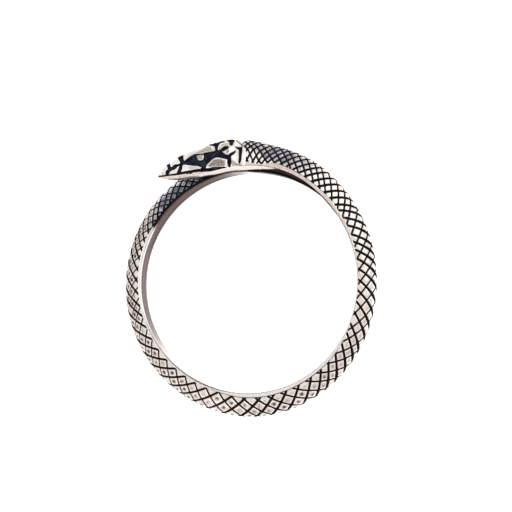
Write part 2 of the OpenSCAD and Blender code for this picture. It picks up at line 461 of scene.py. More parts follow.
def body_tones(angle, run, belly, side, rim_gap, bottom):
    """Painted shade and dark lines that lie outside the grooves, and the silver's tone from place to
    place, which is partly painted light and shade.

    A place is given by its angle, its distance from the crest, whether it is on the belly, its
    height above the body's middle, how far it lies past the grooves' ends, and how far short of
    the belly's edge.
    """
    back = 1 - belly
    down = np.abs(run)
    on_rim = step(0.0, 0.05, rim_gap)
    level = side / (BODY_W / 2)

    # Painted shade on the inner faces, black with a soft edge, where the neck passes over the tail
    soot = step(*NECK_SHADE_EDGE, level - smooth(NECK_DARK, angle)) * step(*NECK_SHADE_ANGLES, angle)
    tail_dark = 0.05 + 0.95 * step(*TAIL_SHADE_SPREAD, angle)
    soot = np.maximum(soot, step(*TAIL_SHADE_EDGE, level - tail_dark) * step(*TAIL_SHADE_ANGLES, angle))

    # Black of the back: painted shadow beside the head and below the neck, and the line above the rim
    beside_head = step(*HEAD_SHADOW, angle) * (1 - HEAD_GAP_LACK * between(*HEAD_SHADOW_GAP, angle))
    crossed = step(*CROSSED_FLANK, angle) * step(*CROSSED_SIDE, run)
    line_half = LINE_HALF + LINE_BROADER * between(*BROAD_LINE, angle)
    line = np.exp(-(((rim_gap - LINE_BELOW) / line_half) ** 2)) * smooth(RIM_LINE, angle)
    stain = back * np.maximum(np.maximum(crossed, line), on_rim * beside_head)

    # The crest is bright and the flanks are warm and slate grey. The warm is partly painted reflection,
    # and the slate grey on the tail beside the head is painted shadow
    warm = smooth(TONE, angle, WARM) * step(*WARM_FLANK, down)
    warm = warm * (1 - on_rim) + smooth(TONE, angle, RIM_WARM) * on_rim
    sooner = SLATE_SOONER * step(*LOW_FLANK, down) * (angle > NEAR_HEAD)
    cool = smooth(TONE, angle + sooner, SLATE)
    slate_flank = step(*NECK_SLATE_FLANK, down)
    cool = cool * np.where(angle > TAIL_HALF, step(*TAIL_SLATE_FLANK, down), slate_flank)

    # Low on the neck the scales are bright again, and the rim has little of the slate grey
    start = BRIGHT_START + BRIGHT_LOWER * step(*BRIGHT_NECK_LOWER, angle)
    bright = step(0, BRIGHT_EDGE, down - start) * step(*BRIGHT_NECK, angle)
    cool = cool * (1 - BRIGHT_SLATE_LACK * bright)
    warm = warm * (1 - BRIGHT_WARM_LACK * bright * (1 - on_rim))
    cool = cool * (1 - on_rim * (0.8 + 0.2 * step(*RIM_SLATE_LESS, angle)))
    cool = cool * step(*SLATE_END, angle)
    # A grey line of painted shade along the edge between the rim and the belly, sent on with the sand
    edge_shade = smooth(EDGE_SHADE, angle) * step(*EDGE_SHADE_REACH, bottom) * step(*EDGE_SHADE_LEVEL, level)

    # The belly is mauve, a painted dark reflection, with a lighter band near its middle, and plain
    # where neck and tail cross
    shade = smooth(SHADE, angle) + UPPER_DARKER * step(*TWO_TONE_BELLY, angle) * level
    shade -= BAND_LIGHTER * np.cos(BAND_WAVES * (level - BAND_LEVEL))
    light_edge = step(0.60, 0.90, level) * step(*LIGHT_BELLY_EDGE, angle)
    mauve = belly * smooth(MAUVE, angle) * (1 - light_edge)
    plain = belly * step(*PLAIN_NECK, angle) * 1.5 + belly * step(*PLAIN_TAIL, angle)
    return {
        "stain": stain,
        "soot": belly * soot,
        "warm": warm * back + plain * 0.5,
        "cool": cool * back,
        "sand": edge_shade,
        "belly": mauve,
        "shade": np.clip(shade, 0, 1),
    }


def make_mesh(name, points, faces, values):
    """A smooth mesh object in metres. Each value is a number for every point, or one for all."""
    mesh = bpy.data.meshes.new(name)
    mesh.from_pydata((points * MM).tolist(), [], faces)
    for label, numbers in values.items():
        layer = mesh.attributes.new(label, "FLOAT", "POINT")
        layer.data.foreach_set("value", np.full(len(points), numbers, np.float32))
    mesh.shade_smooth()
    mesh.update()
    piece = bpy.data.objects.new(name, mesh)
    bpy.context.scene.collection.objects.link(piece)
    return piece


class Graph:
    """Adds nodes to a shader or geometry tree."""

    def __init__(self, tree):
        self.nodes = tree.nodes
        self.links = tree.links

    def node(self, kind, settings=None, **inputs):
        """One node: its settings first, then values or links for its sockets, which are given by
        name with _ for each space, or by i and their number."""
        made = self.nodes.new(kind)
        for key, value in (settings or {}).items():
            setattr(made, key, value)
        for key, value in inputs.items():
            by_number = key[0] == "i" and key[1:].isdigit()
            which = int(key[1:]) if by_number else key.replace("_", " ")
            self.join(value, made.inputs[which])
        return made

    def join(self, value, socket):
        """Links a value or a socket to an input, or sets a plain number or colour on it."""
        if isinstance(value, Value):
            value = value.socket
        if isinstance(value, bpy.types.NodeSocket):
            self.links.new(value, socket)
        else:
            socket.default_value = value

    def value(self, socket):
        """A socket as a value for sums."""
        return Value(self, socket)

    def maths(self, operation, *terms):
        """The result of one Math node."""
        inputs = {f"i{k}": term for k, term in enumerate(terms)}
        return self.value(self.node("ShaderNodeMath", {"operation": operation}, **inputs).outputs[0])

    def soft_step(self, low, high, value):
        """0 below low and 1 above high, with a soft rise between them."""
        made = self.node(
            "ShaderNodeMapRange", {"interpolation_type": "SMOOTHSTEP"},
            Value=value, From_Min=low, From_Max=high,
        )
        return self.value(made.outputs[0])

    def noise(self, vector, scale, detail):
        """Noise between 0 and 1, with its middle at 0.5."""
        made = self.node("ShaderNodeTexNoise", None, Vector=vector, Scale=scale, Detail=detail)
        return self.value(made.outputs[0])

    def blend(self, factor, one, other):
        """Mixes two colours. Inputs 6 and 7 and output 2 are the colour ones."""
        made = self.node("ShaderNodeMix", {"data_type": "RGBA"}, i0=factor, i6=one, i7=other)
        return made.outputs[2]


def math_method(operation, turned=False):
    """A method of a value that adds one Math node, with its two terms turned round if asked."""
    def method(self, other):
        terms = (other, self) if turned else (self, other)
        return self.graph.maths(operation, *terms)
    return method


class Value:
    """A socket that takes part in sums as a number does."""

    def __init__(self, graph, socket):
        self.graph = graph
        self.socket = socket

    def __neg__(self):
        return self * -1.0

    __add__ = __radd__ = math_method("ADD")
    __mul__ = __rmul__ = math_method("MULTIPLY")
    __sub__ = math_method("SUBTRACT")
    __rsub__ = math_method("SUBTRACT", turned=True)
    __truediv__ = math_method("DIVIDE")
    __pow__ = math_method("POWER")
    least = math_method("MINIMUM")
    most = math_method("MAXIMUM")


# Engraving of the scales, as the engraver's inputs
ENGRAVING = {
    "Groove depth": 0.14 * MM,
    "Forward half width": 0.125 * MM,
    "Backward half width": 0.095 * MM,
    "Pillow": 0.035 * MM,
    "Dimple depth": 0.035 * MM,
    "Dimple radius": 0.36 * MM,
    "Raggedness": 0.030 * MM,
    "Seed": 7.0,
}
# Share of a groove's half width at full depth, the pattern of the raggedness, and how much more
# ragged a dimple is than a groove
GROOVE_FLAT = 0.3
RAGGED_GRAIN = 7000.0
RAGGED_DETAIL = 3.0
DIMPLE_RAGGED = 2.5


def scale_engraver(material):
    """Geometry nodes that engrave two crossing groove families and a dimple in each scale."""
    tree = bpy.data.node_groups.new("scale_engraver", "GeometryNodeTree")
    tree.interface.new_socket("Geometry", in_out="INPUT", socket_type="NodeSocketGeometry")
    for label in ENGRAVING:
        tree.interface.new_socket(label, in_out="INPUT", socket_type="NodeSocketFloat")
    tree.interface.new_socket("Geometry", in_out="OUTPUT", socket_type="NodeSocketGeometry")
    g = Graph(tree)
    given = g.node("NodeGroupInput")
    size = {label: g.value(given.outputs[label]) for label in ENGRAVING}

    def stored(label):
        """A number that the skin holds for each point."""
        made = g.node("GeometryNodeInputNamedAttribute", {"data_type": "FLOAT"}, Name=label)
        return g.value(made.outputs["Attribute"])

    # The grooves' edges wander a little, as if cut by hand
    position = g.node("GeometryNodeInputPosition").outputs[0]
    wander = g.node(
        "ShaderNodeTexNoise", {"noise_dimensions": "4D"},
        Vector=position, W=size["Seed"], Scale=RAGGED_GRAIN, Detail=RAGGED_DETAIL,
    )
    wander = (g.value(wander.outputs[0]) - 0.5) * size["Raggedness"] * 2.0

    def family(kind):
        """Distance from the nearest groove of a kind as a share of the spacing, the spacing, and
        the groove itself, 1 within it and 0 beside it."""
        number, pitch = stored(kind), stored(kind + "_pitch")
        off = g.maths("ABSOLUTE", number - g.maths("ROUND", number))
        gap = (off * pitch + wander) / stored(kind + "_width")
        half = size[kind.capitalize() + " half width"]
        return off, pitch, 1 - g.soft_step(half * GROOVE_FLAT, half, gap)

    off_forward, forward_pitch, forward = family("forward")
    off_backward, backward_pitch, backward = family("backward")
    ink = forward.most(backward * stored("backward_ink"))

    # Each scale is domed, with a small dimple in its middle
    slack = 1 - off_forward.least(off_backward) * 2.0
    pillow = slack * slack * slack
    across = (0.5 - off_forward) * forward_pitch
    along = (0.5 - off_backward) * backward_pitch
    middle = g.maths("SQRT", across * across + along * along)
    bowl = g.soft_step(0.0, size["Dimple radius"], middle + wander * DIMPLE_RAGGED)
    dimple = (1 - bowl) * stored("dimple")
    depth = forward.most(backward) * stored("deep") * size["Groove depth"]
    depth = depth + pillow * size["Pillow"] + dimple * size["Dimple depth"]
    mask = stored("mask")
    normal = g.node("GeometryNodeInputNormal").outputs[0]
    push = g.node("ShaderNodeVectorMath", {"operation": "SCALE"}, i0=normal, Scale=-(depth * mask))
    carved = g.node(
        "GeometryNodeSetPosition", None, Geometry=given.outputs["Geometry"], Offset=push.outputs[0]
    )
    # Black of the grooves' tarnish, and of the skin's painted shadow and rim line
    for label, amount in (("tarnish", (ink * mask).most(stored("stain"))), ("pit", dimple * mask)):
        carved = g.node(
            "GeometryNodeStoreNamedAttribute", {"data_type": "FLOAT", "domain": "POINT"},
            Geometry=carved.outputs[0], Name=label, Value=amount,
        )
    real = g.node("GeometryNodeRealizeInstances", None, Geometry=carved.outputs[0])
    coated = g.node("GeometryNodeSetMaterial", None, Geometry=real.outputs[0], Material=material)
    g.node("NodeGroupOutput", None, i0=coated.outputs[0])
    return tree


def engrave(piece, tree):
    """Runs the engraver on a smooth skin and keeps the plain mesh that comes out."""
    modifier = piece.modifiers.new("scales", "NODES")
    modifier.node_group = tree
    for item in tree.interface.items_tree:
        if item.in_out == "INPUT" and item.name in ENGRAVING:
            modifier[item.identifier] = ENGRAVING[item.name]
    graph = bpy.context.evaluated_depsgraph_get()
    mesh = bpy.data.meshes.new_from_object(piece.evaluated_get(graph), depsgraph=graph)
    piece.modifiers.remove(modifier)
    piece.data = mesh
    mesh.name = piece.name
    return piece


# Head, as in the part's source
HEAD_L = 7.45
HEAD_W = 2.7
CROWN_H = 2.5
COLLAR_X = 0.05
HEAD_DROP = 0.05
NECK_Z = FLOOR_Z + NECK_CLIMB + BODY_W / 2
HEAD_Z = FLOOR_Z + NECK_CLIMB + HEAD_W / 2 - HEAD_DROP
HEAD_RISE = 0.15
HEAD_SQUARE = 2.5
CHEEK_HEIGHT = 0.42
JAW_SHARE = 0.62
JAW_TURN = 25
AHEAD, UNDER, CROWN, HALF = range(4)
HEAD = [
    (0, -0.24, 0.955, 0.82), (0.04, -0.24, 0.905, 0.8), (0.085, -0.23, 0.99, 0.93),
    (0.15, -0.24, 1, 1), (0.25, -0.25, 0.965, 1), (0.37, -0.28, 0.89, 0.95),
    (0.48, -0.31, 0.82, 0.88), (0.6, -0.34, 0.735, 0.79), (0.72, -0.36, 0.56, 0.69),
    (0.82, -0.36, 0.4, 0.58), (0.9, -0.34, 0.25, 0.46), (0.96, -0.31, 0.11, 0.33),
    (0.99, -0.28, 0.02, 0.2), (1.024, -0.24, -0.16, 0.07),
]
# The finely cut head stays this far inside the smooth one, in half width
HEAD_INSET = 0.005
# The head's mesh: stations along it, points over its top and along its underside, and the finer
# steps of the curve on which those points are spaced
HEAD_STATIONS = 250
FLANK_POINTS = 200
JAW_POINTS = 26
SECTION_STEPS = 721

# Outlines on the head's flank: millimetres in front of the collar, and above the finger hole's top
NOSTRIL_FORK = [
    (6.88, 0.46), (6.65, 0.49), (6.48, 0.57), (6.41, 0.42), (6.36, 0.24), (6.24, 0.17),
    (6.08, 0.33), (5.95, 0.4), (5.75, 0.39), (5.55, 0.44), (5.45, 0.3), (5.58, 0.2), (5.75, 0.12),
    (5.88, -0.02), (6.05, -0.1), (6.22, -0.14), (6.4, -0.22), (6.52, -0.45), (6.75, -0.52),
    (6.83, -0.4), (6.86, -0.22), (6.78, -0.08), (6.66, -0.02), (6.64, 0.12), (6.7, 0.28),
    (6.8, 0.38),
]
CROWN_FORK = [
    (5.76, 0.98), (5.68, 1.1), (5.45, 1.15), (5.24, 1.19), (5.19, 0.95), (5.14, 0.74), (5, 0.6),
    (4.98, 0.38), (5.15, 0.3), (5.25, 0.2), (5.27, -0.05), (5.35, -0.22), (5.38, -0.42),
    (5.8, -0.46), (5.68, -0.15), (5.58, 0.1), (5.5, 0.3), (5.5, 0.45), (5.51, 0.62), (5.62, 0.76),
    (5.72, 0.9),
]
FLANK_HOLLOW = [
    (5.1, 0.62), (4.85, 0.84), (4.6, 0.98), (4.42, 1.07), (4.2, 1.17), (4, 1.2), (3.7, 1.18),
    (3.4, 1.2), (3.2, 1.27), (2.9, 1.29), (2.5, 1.34), (2.13, 1.42), (1.95, 1.43), (1.85, 1.38),
    (1.66, 1.22), (1.45, 1.05), (1.3, 0.97), (1.1, 0.98), (0.95, 1.12), (0.7, 1.26), (0.52, 1.4),
    (0.6, 1.14), (0.75, 0.98), (0.92, 0.84), (0.88, 0.5), (0.88, 0.28), (0.96, 0.05), (0.98, -0.22),
    (1.12, -0.25), (1.22, 0.05), (1.26, 0.3), (1.25, 0.56), (1.6, 0.66), (1.9, 0.73), (2.13, 0.77),
    (2.32, 0.73), (2.52, 0.62), (2.72, 0.46), (2.92, 0.28), (3.06, 0.12), (3.15, -0.08),
    (3.3, -0.32), (3.7, -0.34), (3.62, -0.12), (3.52, -0.02), (3.7, 0.05), (3.9, 0.12), (4.3, 0.15),
    (4.6, 0.22), (4.9, 0.28), (5.15, 0.3),
]
PIT_CHIP = [
    (3.98, 1), (3.65, 1.08), (3.36, 1.08), (3.33, 0.9), (3.38, 0.66), (3.55, 0.58), (3.82, 0.63),
]
BROW_FORK = [
    (3.05, 2.16), (2.7, 2.26), (2.35, 2.14), (2.2, 2.14), (2, 2.29), (1.64, 2.3), (1.56, 2.16),
    (1.94, 2.06), (2.05, 1.86), (2.1, 1.66), (2.1, 1.42), (2.33, 1.38), (2.34, 1.6), (2.42, 1.78),
    (2.58, 1.84), (2.88, 1.92),
]
BROW_TOP = [
    (1.5, 2.36), (1.2, 2.42), (0.75, 2.6), (0.74, 2.2), (0.8, 1.95), (0.84, 1.8), (1.05, 1.8),
    (1.12, 2), (1.2, 2.16), (1.4, 2.25),
]
EYE = [
    (1.92, 1.38), (1.74, 1.62), (1.54, 1.74), (1.24, 1.76), (1.12, 1.64), (1.22, 1.48),
    (1.42, 1.37), (1.55, 1.3), (1.78, 1.28),
]
COLLAR_SLOT = [
    (0.62, 1.72), (0.45, 1.68), (0.28, 1.7), (0.14, 1.78), (0.08, 1.6), (0.1, 1.3), (0.12, 1),
    (0.13, 0.6), (0.2, 0.34), (0.29, 0.16), (0.35, 0.4), (0.32, 0.8), (0.31, 1.35), (0.34, 1.46),
    (0.48, 1.52),
]
CHEEK_GAP = [
    (3.2, -0.08), (3.02, -0.12), (2.8, -0.09), (2.5, -0.04), (2, -0.03), (1.55, -0.04),
    (1.36, -0.08), (1.36, -0.24), (1.55, -0.35), (2, -0.42), (2.5, -0.43), (3, -0.42), (3.3, -0.43),
    (3.7, -0.43),
]
MOUTH = [
    (7.7, -0.46), (7.4, -0.47), (7, -0.47), (6.5, -0.44), (6, -0.42), (5.5, -0.35), (5, -0.25),
    (4.5, -0.21), (4, -0.14), (3.5, -0.12), (3.5, -0.38), (4, -0.39), (4.35, -0.42), (4.45, -0.49),
    (4.6, -0.53), (4.72, -0.46), (4.84, -0.54), (5, -0.48), (5.5, -0.55), (6, -0.58), (6.5, -0.6),
    (7, -0.64), (7.4, -0.63), (7.7, -0.58),
]
# Lines on the flank: half width, then the points
BROW_LINE = (0.035, [(1.98, 1.5), (1.92, 1.68), (1.78, 1.85), (1.52, 1.95), (1.2, 1.94)])
COLLAR_LINE = (0.03, [(0.6, 2.31), (0.33, 2.08), (0.12, 1.88), (0, 1.74)])
FIRST_SCALE = (0.045, [(0.34, 2.42), (0.12, 2.24), (0, 2.06)])
CHEEK_CREASE = (0.035, [(0.56, 0.17), (0.4, 0.1), (0.22, 0.09), (0, 0.17)])
# Places where the silver is sandy instead of bright, and how sandy
CHEEK = (1, [
    (3, 0.03), (2.74, 0.34), (2.42, 0.58), (2.14, 0.66), (1.73, 0.6), (1.45, 0.5), (1.4, 0.1),
    (1.5, -0.02), (2, -0.02), (2.64, -0.04),
])
LOWER_LID = (1, [(1.36, 1.2), (1.28, 1.38), (1.1, 1.42), (1.02, 1.25), (1.1, 1.1), (1.28, 1.1)])
CROWN_EDGE = (0.72, [
    (4.1, 1.12), (3.3, 1.28), (2.5, 1.38), (2.62, 1.55), (2.78, 1.86), (3.15, 1.9), (3.4, 1.62),
    (4.05, 1.3),
])
BROW_PLATE = (0.34, [
    (2.02, 1.5), (1.96, 1.8), (1.9, 2.04), (1.6, 2.2), (1.3, 2.2), (1.1, 1.95), (1.25, 1.74),
    (1.55, 1.74),
])
COLLAR_TOP = (0.46, [
    (0.9, 2.45), (0.78, 2.15), (0.6, 2.02), (0.3, 1.86), (0, 1.76), (0, 2.6), (0.6, 2.6),
])
LIP_SHADE = (0.45, [(4.7, 0.12), (4, 0.08), (3.62, -0.05), (3.9, -0.18), (4.7, -0.22)])
BACK_CHEEK = (0.85, [
    (0.86, 0.62), (0.66, 0.55), (0.44, 0.26), (0.2, 0.2), (0.02, 0.2), (0.02, -0.1), (0.6, -0.2),
    (0.9, -0.14),
])
PIT_SAND = (0.72, [(3.95, 0.98), (3.6, 1.08), (3.36, 1.05), (3.36, 0.68), (3.6, 0.6), (3.82, 0.64)])
HOLLOWS = (
    NOSTRIL_FORK, CROWN_FORK, FLANK_HOLLOW, BROW_FORK, BROW_TOP, EYE, COLLAR_SLOT, CHEEK_GAP, MOUTH,
)
SANDY_PLACES = (
    CHEEK, LOWER_LID, CROWN_EDGE, BROW_PLATE, COLLAR_TOP, LIP_SHADE, BACK_CHEEK, PIT_SAND,
)
# The hollows' depth and the width of their slope, the softer shoulder round them, the two faint
# lines, and the eyeball that stands in the eye's hollow
HOLLOW_DEPTH = 0.20
HOLLOW_SLOPE = 0.14
SHOULDER_DEPTH = 0.04
FAINT_DEPTH = 0.05
FAINT_DARK = 0.40
EYE_AHEAD = 1.47
EYE_HEIGHT = 1.52
EYE_LONG = 1.15
EYE_RISE = 0.10
# How sandy the grime above the hollows and the crown's crest are
GRIME_SAND = 0.60
CREST_SAND = 0.26
# The painted shadow line along the head's inner face: its place and width as shares of the half width
JAW_CREASE = 0.62
CREASE_WIDTH = 0.07
# Height of the jaw over which its rise fades, how dark and how sandy the head's inner face is, and
# how blue the black of the hollows is
JAW_BLEND = 0.35
HEAD_SHADE = 0.65
INNER_SAND = 0.36
HOLLOW_SLATE = 0.85
# How far the cut jaw's underside stands off the smooth one, and from which share of its half
# width on it is black with painted shade: millimetres in front of the collar, the rise, the share
RISE, DARK_FROM = 1, 2
JAW_RISE = [
    (0, 0, 1.6), (1.6, 0, 1.5), (2.3, 0.01, 1.1), (2.8, 0.04, 0.6), (3.3, 0.1, 0.3),
    (3.9, 0.18, 0.2), (4.7, 0.2, 0.2), (5.4, 0.13, 0.5), (5.8, 0.1, 0.9), (6.2, 0.1, 1.4),
    (7, 0.05, 1.6), (7.7, 0.02, 1.6),
]
FAR = 1e9
TINY = 1e-9


def outline_distance(x, y, outline):
    """Distance from an outline, less than zero inside it."""
    near = np.full(x.shape, FAR)
    inside = np.zeros(x.shape, bool)
    for (x0, y0), (x1, y1) in zip(outline, outline[1:] + outline[:1]):
        near = np.minimum(near, line_distance(x, y, (x0, y0), (x1, y1)))
        crosses = (y0 > y) != (y1 > y)
        level = np.where(crosses, (x1 - x0) * (y - y0) / ((y1 - y0) or TINY) + x0, 0)
        inside ^= crosses & (x < level)
    return np.where(inside, -near, near)


def line_distance(x, y, start, end):
    """Distance from a straight line between two points."""
    dx, dy = end[0] - start[0], end[1] - start[1]
    t = np.clip(((x - start[0]) * dx + (y - start[1]) * dy) / (dx * dx + dy * dy), 0, 1)
    return np.hypot(x - start[0] - t * dx, y - start[1] - t * dy)


def stroke_distance(x, y, stroke):
    """Distance from a line with a width, less than zero inside it."""
    half_width, line = stroke
    near = np.full(x.shape, FAR)
    for start, end in zip(line[:-1], line[1:]):
        near = np.minimum(near, line_distance(x, y, start, end))
    return near - half_width


def head_section(share):
    """One section of the head, across and in height: evenly spaced points from one edge of the jaw
    over the top to the other, and back along the underside."""
    half = float(smooth(HEAD, share, HALF)) * HEAD_W / 2 - HEAD_INSET
    under = float(smooth(HEAD, share, UNDER)) * CROWN_H
    crown = float(smooth(HEAD, share, CROWN)) * CROWN_H
    middle = under + (crown - under) * CHEEK_HEIGHT
    turn = np.radians(np.linspace(180 + JAW_TURN, -JAW_TURN, SECTION_STEPS))
    sine, cosine = np.sin(turn), np.cos(turn)
    reach = np.where(sine < 0, middle - under, crown - middle)
    across = half * np.sign(cosine) * np.abs(cosine) ** (2 / HEAD_SQUARE)
    height = middle + reach * np.sign(sine) * np.abs(sine) ** (2 / HEAD_SQUARE)
    across = np.concatenate([[-half * JAW_SHARE], across, [half * JAW_SHARE]])
    height = np.concatenate([[under], height, [under]])
    run = np.concatenate([[0], np.cumsum(np.hypot(np.diff(across), np.diff(height)))])
    even = np.linspace(0, run[-1], FLANK_POINTS)
    across, height = np.interp(even, run, across), np.interp(even, run, height)
    back = np.linspace(half * JAW_SHARE, -half * JAW_SHARE, JAW_POINTS + 2)[1:-1]
    return np.concatenate([across, back]), np.concatenate([height, np.full(JAW_POINTS, under)])


def head_rings():
    """The smooth head's points in rings, and their places ahead, across and in height."""
    shares = np.linspace(0, HEAD[-1][AHEAD], HEAD_STATIONS)
    sections = np.array([head_section(share) for share in shares])
    across, height = sections[:, 0], sections[:, 1]
    ahead = np.repeat(shares[:, None] * HEAD_L, across.shape[1], axis=1)
    middle = NECK_Z + (HEAD_Z - NECK_Z) * np.minimum(shares / HEAD_RISE, 1)
    points = np.stack([COLLAR_X - ahead, BORE_R + height, middle[:, None] + across], axis=-1)
    return points, ahead, across, height


def head_cuts(ahead, height):
    """Distance from the hollows' edges, and the depth and the tarnish of all cuts."""
    gap = np.full(ahead.shape, FAR)
    for outline in HOLLOWS:
        gap = np.minimum(gap, outline_distance(ahead, height, outline))
    gap = np.maximum(gap, -outline_distance(ahead, height, PIT_CHIP))
    for stroke in (COLLAR_LINE, FIRST_SCALE):
        gap = np.minimum(gap, stroke_distance(ahead, height, stroke))
    faint = np.minimum(
        stroke_distance(ahead, height, BROW_LINE), stroke_distance(ahead, height, CHEEK_CREASE)
    )
    ball = np.hypot((ahead - EYE_AHEAD) / EYE_LONG, height - EYE_HEIGHT)
    depth = HOLLOW_DEPTH * step(0.02, -HOLLOW_SLOPE, gap)
    depth += SHOULDER_DEPTH * (1 - np.clip(gap / HOLLOW_SLOPE, 0, 1)) ** 2
    depth += FAINT_DEPTH * step(0.06, -0.02, faint)
    depth -= EYE_RISE * step(0.20, 0.04, ball)
    tarnish = np.maximum(step(0.02, -0.03, gap), FAINT_DARK * step(0.03, -0.02, faint))
    return gap, depth, tarnish


def head_sand(ahead, height, gap):
    """How sandy the head is: beside its upper hollows, along its crest and in its sandy places."""
    below_top = height.max(axis=1, keepdims=True) - height
    sand = GRIME_SAND * step(0.18, 0.00, gap) * step(0.85, 1.05, height)
    sand = np.maximum(sand, CREST_SAND * step(0.30, 0.05, below_top) * step(3.6, 2.8, ahead))
    for amount, outline in SANDY_PLACES:
        inside = step(0.06, -0.10, outline_distance(ahead, height, outline))
        sand = np.maximum(sand, amount * inside)
    return sand


def sunk(points, depth):
    """Rings of points, moved inwards by a depth, along the surface's normal."""
    along = np.gradient(points, axis=0)
    around = np.roll(points, -1, axis=1) - np.roll(points, 1, axis=1)
    normal = np.cross(around, along)
    normal /= np.maximum(np.linalg.norm(normal, axis=-1, keepdims=True), TINY)
    centre = points.mean(axis=1, keepdims=True)
    facing = np.sign(((points - centre) * normal).sum(axis=-1).mean())
    return points - normal * facing * depth[..., None]


def snake_head():
    """The head with its plates, eyes, mouth line and collar slot."""
    points, ahead, across, height = head_rings()
    gap, depth, tarnish = head_cuts(ahead, height)
    sand = head_sand(ahead, height, gap)
    on_flank = np.arange(across.shape[1]) < FLANK_POINTS
    points = sunk(points, depth * on_flank)

    # The underside keeps clear of the finger, and rises a little towards the neck
    radius = np.hypot(points[..., 0], points[..., 1])
    turn = np.degrees(np.arctan2(points[..., 0], points[..., 1]))
    least = BORE_R + smooth(LIFT, turn)
    push = np.where(radius < least, least / radius, 1)
    points[..., :2] *= push[..., None]
    above = points[..., 1] - points[..., 1].min(axis=1, keepdims=True)
    points[..., 1] += smooth(JAW_RISE, ahead, RISE) * (1 - np.clip(above / JAW_BLEND, 0, 1))

    # The inner face of the head is as light as the jaw down to a painted shadow line, and mauve below
    # it, a painted dark reflection
    belly = np.where(push > 1, 1.0, 0.0)
    low = -across / np.abs(across).max(axis=1, keepdims=True)
    crease_shade = np.exp(-(((low - JAW_CREASE) / CREASE_WIDTH) ** 2))
    jaw = belly * step(JAW_CREASE, JAW_CREASE - 0.1, low)
    inner = step(0.12, 0.04, above)
    tarnish = np.where(belly > 0, 0, tarnish)
    tarnish = np.maximum(tarnish, inner * crease_shade * (0.26 + 0.16 * step(0.8, 1.8, ahead)))
    # Painted shade, black, low on the head's inner face beside the tail
    soot = step(-0.45, 0.35, low - smooth(JAW_RISE, ahead, DARK_FROM)) * inner
    warm = np.maximum(0.20 + 0.60 * step(-0.18, -0.40, height), jaw * 0.72)
    sand = sand * (1 - inner)
    warm = np.maximum(warm, 0.55 * sand)
    sand = np.maximum(sand, INNER_SAND * inner * step(0.05, 0.55, low) * step(0.2, 1.2, ahead))
    return make_mesh("head", *capped_tube(points), {
        "tarnish": with_hubs(tarnish, 1, 0),
        "soot": with_hubs(soot),
        "warm": with_hubs(warm),
        "cool": with_hubs(HOLLOW_SLATE * step(0.0, -0.1, gap) * (1 - belly)),
        "sand": with_hubs(sand),
        "belly": with_hubs(belly * (1 - jaw) * step(0.0, 1.1, ahead)),
        "shade": HEAD_SHADE,
        "pit": 0,
    })


# Colours of the silver and its tarnish
BRIGHT_SILVER = (0.90, 0.88, 0.85, 1)
WARM_SILVER = (0.66, 0.56, 0.50, 1)
BROWN_SILVER = (0.40, 0.29, 0.23, 1)
SANDY_SILVER = (0.130, 0.096, 0.068, 1)
SLATE_SILVER = (0.090, 0.105, 0.145, 1)
BELLY_LIGHT = (0.40, 0.32, 0.315, 1)
BELLY_DARK = (0.085, 0.055, 0.050, 1)
PIT_BROWN = (0.075, 0.045, 0.035, 1)
TARNISH_AND_SHADE_BLACK = (0.013, 0.009, 0.008, 1)
TARNISH_AND_SHADE_BLUE = (0.007, 0.008, 0.018, 1)
TARNISH_SHEEN = (0.035, 0.040, 0.062, 1)
# Patterns of the silver, coarse to fine: scale and detail
PATCH = (1500.0, 2.0)
MOTTLE = (5500.0, 3.0)
GRAIN = (9000.0, 3.0)
SPECK = (16000.0, 2.0)
# Roughness of bright silver, and what sand, grain and tarnish add, painted shade counting with the sand
# and the tarnish
BRIGHT_ROUGH = 0.22
SAND_ROUGH = 0.20
GRAIN_ROUGH = 0.08
TARNISH_ROUGH = 0.20
# Shine that full tarnish and painted shade take, and the belly's share of it, so that its painted
# reflection shows
TARNISH_DULL = 0.92
BELLY_MATTE = 0.8
# Fine relief of the surface: height in metres, and strength
BUMP_HEIGHT = 0.00001
BUMP_STRENGTH = 0.35


